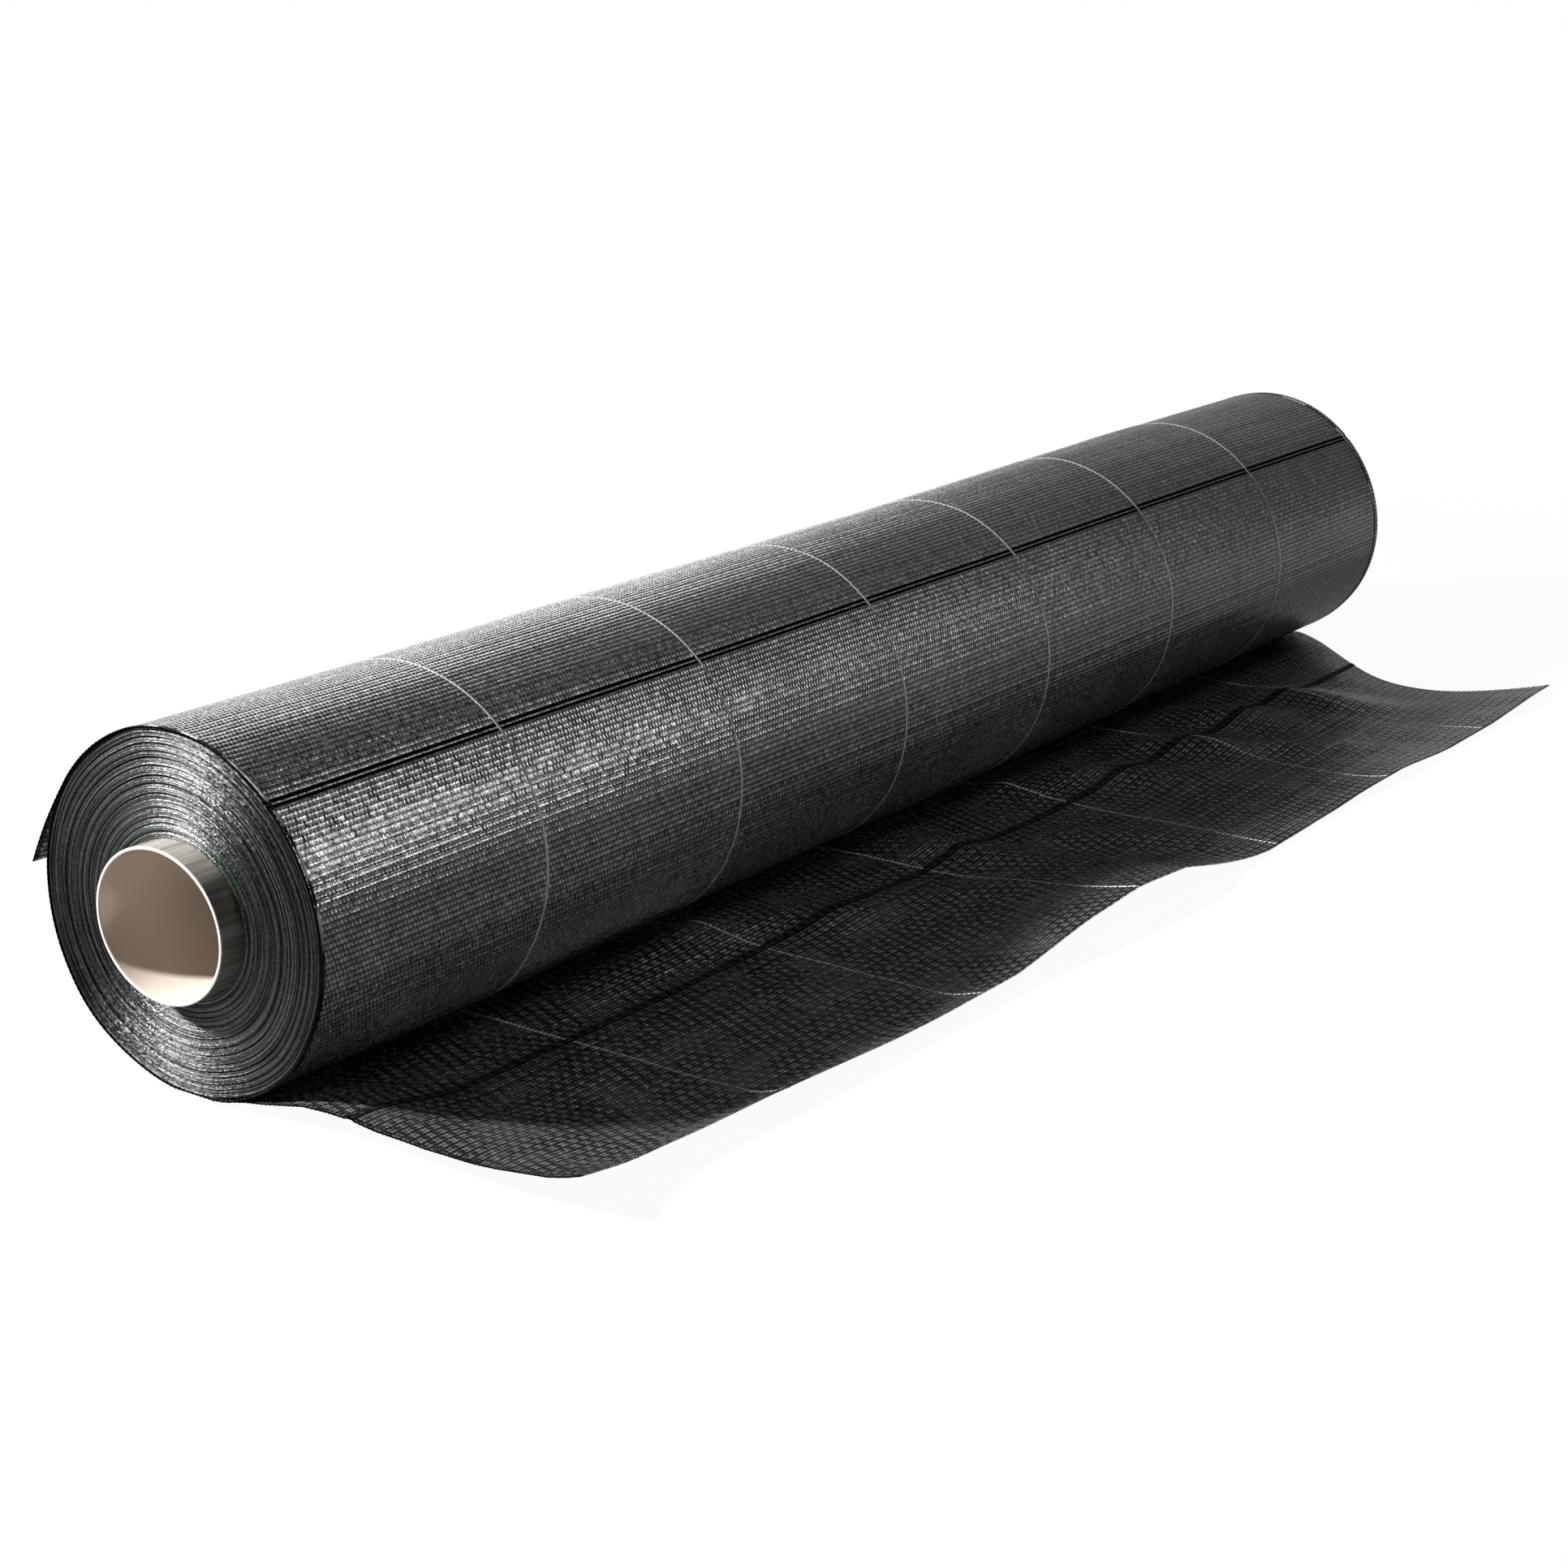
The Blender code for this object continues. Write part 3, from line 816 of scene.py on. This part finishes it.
inner = {
    "tuck": math.radians(-26.0),
    "length": 0.228,  # from below the roll's axis to the cut edge, along the ground
    "contact": 0.028,  # the roll touches the free end this far in front of its axis
    "contactEase": 0.030,
    "small": 0.0006,  # small bumps all over
    "lumpsFrom": 0.004,  # the roll's lumps fade toward the ground
    "lumpsEase": 0.02,
    "clearTo": 0.012,  # the near end's clearance ends in front of the axis
    "clearEase": 0.016,
    # cut edge by the distance across the web: its reach, its height, how far back it curls up
    "cutEdge": (
        (0.000, 0.2200, 0.0085, 0.030),
        (0.017, 0.2170, 0.0085, 0.030),
        (0.063, 0.2142, 0.0088, 0.030),
        (0.096, 0.2159, 0.0088, 0.026),
        (0.148, 0.2199, 0.0079, 0.022),
        (0.203, 0.2230, 0.0063, 0.024),
        (0.262, 0.2256, 0.0053, 0.026),
        (0.326, 0.2266, 0.0057, 0.028),
        (0.394, 0.2261, 0.0135, 0.100),
        (0.443, 0.2276, 0.0167, 0.135),
        (0.494, 0.2297, 0.0149, 0.120),
        (0.521, 0.2313, 0.0089, 0.080),
        (0.545, 0.2331, 0.0045, 0.050),
        (0.578, 0.2347, 0.0003, 0.030),
        (0.637, 0.2338, 0.0002, 0.030),
        (0.699, 0.2335, 0.0023, 0.030),
        (0.765, 0.2356, 0.0038, 0.026),
        (0.836, 0.2373, 0.0008, 0.030),
        (0.911, 0.2380, 0.0010, 0.040),
        (0.990, 0.2385, 0.0044, 0.050),
        (1.050, 0.2355, 0.0030, 0.060),
    ),
    # lifted near selvedge by the reach: its height, how far in it goes, and how soft its foot is
    "selvedge": (
        (0.012, 0.0019, 0.040, 0.0),
        (0.020, 0.0027, 0.042, 0.0),
        (0.028, 0.0046, 0.046, 0.0),
        (0.034, 0.0059, 0.052, 0.0),
        (0.045, 0.0075, 0.060, 0.0),
        (0.053, 0.0090, 0.066, 0.0),
        (0.060, 0.0104, 0.070, 0.0),
        (0.068, 0.0120, 0.074, 0.0),
        (0.082, 0.0128, 0.080, 0.0),
        (0.096, 0.0128, 0.083, 0.0),
        (0.110, 0.0113, 0.085, 0.0),
        (0.137, 0.0102, 0.090, 0.1),
        (0.163, 0.0112, 0.100, 0.4),
        (0.176, 0.0121, 0.110, 0.6),
        (0.189, 0.0134, 0.120, 0.8),
        (0.202, 0.0148, 0.130, 1.0),
        (0.215, 0.0172, 0.130, 1.0),
        (0.221, 0.0184, 0.130, 1.0),
    ),
    "footStart": 0.008,
    "footEase": 0.008,
    "footDraw": 0.58,
    # folds: across, reach, half size across, half size along, height, slant
    "folds": (
        (0.230, 0.056, 0.055, 0.016, 0.0031, 0.0),
        (0.295, 0.056, 0.040, 0.028, 0.0046, 0.4),
        (0.258, 0.150, 0.012, 0.020, 0.0019, 0.4),
        (0.356, 0.097, 0.025, 0.030, 0.0034, 0.5),
        (0.420, 0.130, 0.016, 0.034, 0.0022, 0.7),
        (0.480, 0.100, 0.020, 0.055, 0.0060, 0.1),
        (0.545, 0.140, 0.016, 0.034, 0.0026, 0.7),
        (0.600, 0.060, 0.026, 0.028, 0.0045, 0.5),
        (0.655, 0.092, 0.026, 0.040, 0.0069, 0.5),
        (0.735, 0.102, 0.026, 0.042, 0.0074, 0.6),
        (0.775, 0.150, 0.016, 0.034, 0.0029, 0.8),
        (0.820, 0.096, 0.026, 0.045, 0.0074, 0.6),
        (0.895, 0.115, 0.031, 0.050, 0.0082, 0.5),
    ),
    # the far selvedge is drawn in: at its waist, at the corner, and from which reach on
    "waist": 0.068,
    "corner": 0.050,
    "drawnFrom": 0.03,
    "waistLean": 1.3,
    "drawPower": 8,
}


def readTable(table, value, column=1):
    return np.interp(value, [row[0] for row in table], [row[column] for row in table])


def freeHeight(across, reach, cut):
    # height of the free end's underside above the ground
    height = np.zeros_like(across)
    for atAcross, atReach, halfAcross, halfAlong, rise, slant in inner["folds"]:
        shifted = across - atAcross - slant * (reach - atReach)
        height += rise * np.exp(-(shifted / halfAcross) ** 2 - ((reach - atReach) / halfAlong) ** 2)
    height += inner["small"] * (valueNoise(across * 22.0, reach * 30.0, 51) + 1)
    curlHeight, curlLength = readTable(inner["cutEdge"], across, 2), readTable(inner["cutEdge"], across, 3)
    curl = curlHeight * np.clip((reach - cut + curlLength) / curlLength, 0.0, 1.0) ** 1.7
    fromRoll = smoothStep((reach - inner["contact"]) / inner["contactEase"])
    return fromRoll * height + np.sqrt(curl ** 2 + selvedgeLift(across, reach) ** 2)


def selvedgeLift(across, reach):
    # from a rounded foot near the roll to a pointed corner at the cut edge
    pointed = readTable(inner["selvedge"], reach, 3)
    share = np.clip(across / readTable(inner["selvedge"], reach, 2), 0.0, 1.0)
    form = (1 - smoothStep(share)) * (1 - pointed) + (1 - share) ** 2 * pointed
    start = smoothStep((reach - inner["footStart"]) / inner["footEase"])
    return readTable(inner["selvedge"], reach, 1) * form * start


def selvedgeDraw(across, reach):
    # the lifted cloth takes up length, so its edge lies a little further in
    lift, band = readTable(inner["selvedge"], reach, 1), readTable(inner["selvedge"], reach, 2)
    return inner["footDraw"] * lift ** 2 / band * (1 - np.clip(across / band, 0.0, 1.0)) ** 2


innerRadius = rollRadius - cloth["thickness"] - cloth["layerGap"]
liftOffAngle = math.pi - math.acos(axisHeight / innerRadius)  # where the roll's curve meets the ground
innerArc = innerRadius * (liftOffAngle + inner["tuck"])
behindAxis = innerRadius * math.sin(liftOffAngle)
innerLength = innerArc + behindAxis + inner["length"]


def innerPlaces(across, along, rise):
    # round the back and the underside of the roll, then flat behind its axis and out in front
    angle = inner["tuck"] - np.minimum(along, innerArc) / innerRadius
    arcY, arcZ = roundPlace(innerRadius, angle)
    onArc = smoothStep((arcZ - inner["lumpsFrom"]) / inner["lumpsEase"])
    lift = rise + rollLumps(across, angle) * onArc - nearClearance(across, angle)
    arcY, arcZ = arcY - np.sin(angle) * lift, arcZ + np.cos(angle) * lift

    flat = along > innerArc
    cut = readTable(inner["cutEdge"], across)
    reach = np.maximum(along - innerArc - behindAxis, 0.0) * cut / inner["length"]
    share = np.clip((reach - inner["drawnFrom"]) / (cut - inner["drawnFrom"]), 0.0, 1.0)
    drawn = inner["waist"] * np.sin(math.pi * share ** inner["waistLean"]) + inner["corner"] * share
    shift = selvedgeDraw(across, reach) - drawn * (across / webWidth) ** inner["drawPower"]
    ended = smoothStep((reach - inner["clearTo"]) / inner["clearEase"])
    clear = nearClearance(across, np.full_like(across, math.pi)) * (1 - ended)
    groundY = np.where(reach > 0, -reach, behindAxis - np.maximum(along - innerArc, 0.0))
    groundZ = np.maximum(freeHeight(across, reach, cut) * (reach > 0), clear) - rise
    x = nearX + across + np.where(flat, shift, 0.0)
    y = np.where(flat, groundY, arcY)
    z = np.where(flat, groundZ, np.maximum(arcZ, 0.0))
    return np.stack([x, y, z], axis=-1)


def makeInnerPly():
    along, across = clothGrid(0.0, innerLength)
    lineAt = innerArc + behindAxis + freeFabric["lineReach"]
    fromLine = along - lineAt + 0.0004 * valueNoise(across * 6.0, along * 20.0, 32)
    rise = cloth["ribHeight"] * (ribWave(fromLine, freeFabric) - 1)
    return makeCloth("innerPly", innerPlaces(across, along, rise), across, fromLine, freeWeave)


innerPly = makeInnerPly()
print("inner ply and free end made")
makeTurns()
print("wound turns made")


# Pale marker tapes, woven in 150 mm apart

markers = {
    "width": 0.0015,
    "proud": 0.00014,
    "rowStep": 0.0014,
    "endGap": 0.0004,
    "wander": 0.0004,
    "crimp": 0.00004,
}


def makeMarkers(name, start, end, placesOf):
    # each tape is a low bar through the cloth, so it shows on both faces
    rows = round((end - start) / markers["rowStep"])
    along = np.linspace(start + markers["endGap"], end - markers["endGap"], rows + 1)
    half = markers["width"] / 2
    low, high = -cloth["thickness"] - markers["proud"], markers["proud"]
    section = ((-half, low), (-half, high * 0.4), (0.0, high), (half, high * 0.4), (half, low), (0.0, low))
    around = len(section)
    crimp = markers["crimp"] * np.cos(along / cloth["ribPitch"] * math.pi)
    vertices, faces = [], []
    for place in cloth["markerPlaces"]:
        wander = markers["wander"] * valueNoise(along * 18.0, along * 0.0 + place * 40, 61)
        rings = [placesOf(np.full_like(along, place) + side + wander, along, level + crimp)
                 for side, level in section]
        first = len(vertices)
        vertices.extend(np.stack(rings, axis=1).reshape(-1, 3).tolist())
        for base in range(first, first + rows * around, around):
            for side in range(around):
                after = (side + 1) % around
                faces.append((base + side, base + after, base + around + after, base + around + side))
        faces.append(tuple(first + side for side in reversed(range(around))))
        faces.append(tuple(first + rows * around + side for side in range(around)))
    return addMesh(name, vertices, faces, markerTape)


outerMarkers = makeMarkers("outerMarkers", 0.0, seamAlong, outerPlaces)
tailMarkers = makeMarkers("tailMarkers", seamAlong, hingeAlong + outer["tailLength"], outerPlaces)
innerMarkers = makeMarkers("innerMarkers", 0.0, innerLength, innerPlaces)
print("marker tapes made")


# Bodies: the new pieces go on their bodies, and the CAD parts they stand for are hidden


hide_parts("outer_ply")
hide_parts("outer_tail")
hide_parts("under_ply", "lead_in", "free_end")
for piece in (outerPly, outerMarkers):
    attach(piece, "roll")
for piece in (outerTail, tailMarkers):
    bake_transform(piece)
for piece in (innerPly, innerMarkers):
    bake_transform(piece)
print("pieces on their bodies")


# Studio

studio = {
    "floorSize": 160.0,
    "floorDrop": 0.0002,  # the floor lies this far below the roll
    "floorColour": (0.86, 0.86, 0.86),
    "floorGlow": 0.955,  # part of the floor's white that shadows don't dim
    "floorBounce": 0.10,  # colour that the floor throws back onto the roll
    "shadowReach": (0.25, 0.75),  # past this distance from the roll the floor is plain white
    "skyFill": 0.10,
    "skyTop": 0.25,
    "backdropTo": (0.80, 0.60),  # direction of the white backdrop, along X and Y
    "backdropShine": 0.50,
    "frontShine": 0.85,  # the floor in front of the roll, as the roll reflects it
    "roomShade": 0.22,  # the rest of the room, as a share of white
    "lamps": (
        # name, place, aim, width, height, power, spread in degrees, whether it only makes shine
        ("keyLamp", (-1.75, 1.36, 1.42), (-0.45, 0.0, 0.08), 0.24, 0.24, 195.0, 180.0, False),
        ("backLamp", (3.20, 3.30, 1.60), (0.0, 0.0, 0.12), 1.8, 1.2, 40.0, 180.0, False),
        ("shineLamp", (0.78, -1.42, 1.02), (-0.95, -0.05, 0.10), 0.4, 1.0, 7.3, 80.0, True),
        ("frontLamp", (0.65, -1.10, 1.80), (-0.30, -0.05, 0.10), 0.6, 0.6, 7.0, 180.0, False),
    ),
}


def backdropShare(tree, x, y, low, high):
    # the white backdrop stands behind the roll, and the rest of the room is darker
    shareX, shareY = studio["backdropTo"]
    toBackdrop = calc(tree, "ADD", product(tree, x, shareX), product(tree, y, shareY))
    return remap(tree, toBackdrop, low, high, studio["roomShade"], studio["backdropShine"], smooth=True)


def makeFloor():
    half = studio["floorSize"] / 2
    corners = [(-half, -half), (half, -half), (half, half), (-half, half)]
    material, tree, shader = newMaterial("studioFloor")
    floor = addMesh("floor", [(x, y, -studio["floorDrop"]) for x, y in corners], [(0, 1, 2, 3)], material)
    shader.inputs["Roughness"].default_value = 0.9
    shader.inputs["Specular IOR Level"].default_value = 0.0
    glow = addNode(tree, "ShaderNodeEmission")
    glow.inputs["Color"].default_value = (1.0, 1.0, 1.0, 1.0)
    path = addNode(tree, "ShaderNodeLightPath").outputs
    x, y = separate(tree, objectPlace(tree))[:2]
    # what shiny surfaces see of the floor: the backdrop, and a pale stretch in front of the roll
    inFront = product(tree, remap(tree, y, -0.21, -0.36, 0.0, studio["frontShine"]),
                      remap(tree, x, -0.9, -0.4, 0.0, 1.0))
    mirrored = calc(tree, "MAXIMUM", backdropShare(tree, x, y, 0.3, 1.3), inFront)
    shiny = product(tree, path["Is Glossy Ray"], mirrored)
    seen = calc(tree, "MAXIMUM", path["Is Camera Ray"], shiny)
    seen = calc(tree, "MAXIMUM", seen, path["Is Transmission Ray"])
    # the floor keeps the shadow near the roll and is plain white further off
    pastEnd = calc(tree, "MAXIMUM", calc(tree, "SUBTRACT", calc(tree, "ABSOLUTE", x), farX), 0.0)
    away = distance(tree, pastEnd, y)
    plain = remap(tree, away, *studio["shadowReach"], studio["floorGlow"], 1.0, smooth=True)
    bounce, room = (studio["floorBounce"],) * 3, (studio["roomShade"],) * 3
    inRoom = calc(tree, "SUBTRACT", path["Is Glossy Ray"], shiny)
    colour = mixColour(tree, path["Is Diffuse Ray"], studio["floorColour"], bounce)
    tree.links.new(mixColour(tree, inRoom, colour, room), shader.inputs["Base Color"])
    mix = addNode(tree, "ShaderNodeMixShader")
    for socket, source in zip(mix.inputs, (product(tree, seen, plain), shader.outputs[0], glow.outputs[0])):
        tree.links.new(source, socket)
    tree.links.new(mix.outputs[0], tree.nodes["Material Output"].inputs["Surface"])


def makeSky():
    world = bpy.data.worlds.new("studioSky")
    world.use_nodes = True
    tree = world.node_tree
    back = tree.nodes["Background"]
    path = addNode(tree, "ShaderNodeLightPath").outputs
    seen = calc(tree, "MAXIMUM", path["Is Camera Ray"], path["Is Transmission Ray"])
    x, y, up = separate(tree, addNode(tree, "ShaderNodeTexCoord").outputs["Generated"])
    # the ceiling is darker than the walls
    upward = remap(tree, up, 0.35, 0.58, 1.0, studio["skyTop"], smooth=True)
    around = product(tree, upward, backdropShare(tree, x, y, 0.45, 0.85))
    share = calc(tree, "MULTIPLY_ADD", path["Is Glossy Ray"], 1 - studio["skyFill"], studio["skyFill"])
    back.inputs["Color"].default_value = (1.0, 1.0, 1.0, 1.0)
    tree.links.new(calc(tree, "MAXIMUM", seen, product(tree, around, share)), back.inputs["Strength"])
    bpy.context.scene.world = world


def makeLamp(name, place, aim, width, height, power, spread, shineOnly):
    lamp = bpy.data.lights.new(name, "AREA")
    lamp.shape = "RECTANGLE"
    lamp.size, lamp.size_y = width, height
    lamp.energy = power
    lamp.spread = math.radians(spread)
    item = bpy.data.objects.new(name, lamp)
    item.visible_diffuse = not shineOnly
    item.location = place
    item.rotation_euler = (Vector(aim) - Vector(place)).to_track_quat("-Z", "Y").to_euler()
    bpy.context.scene.collection.objects.link(item)


camera = {
    "lens": 65.217,
    "place": (-1.31235, -0.8767, 0.4973),
    "azimuth": math.radians(-54.68),  # seen from in front and the near end
    "elevation": math.radians(17.09),
}


def makeCamera():
    data = bpy.data.cameras.new("photoCamera")
    data.lens = camera["lens"]
    data.sensor_width = 36.0
    data.clip_start, data.clip_end = 0.05, 300.0
    item = bpy.data.objects.new("photoCamera", data)
    item.location = camera["place"]
    flat = math.cos(camera["elevation"])
    sight = Vector((-math.sin(camera["azimuth"]) * flat, math.cos(camera["azimuth"]) * flat,
                    -math.sin(camera["elevation"])))
    item.rotation_euler = sight.to_track_quat("-Z", "Y").to_euler()
    bpy.context.scene.collection.objects.link(item)
    bpy.context.scene.camera = item


makeFloor()
makeSky()
for lamp in studio["lamps"]:
    makeLamp(*lamp)
makeCamera()
bpy.context.scene.view_settings.view_transform = "Standard"
print("studio made")

bpy.context.view_layer.update()
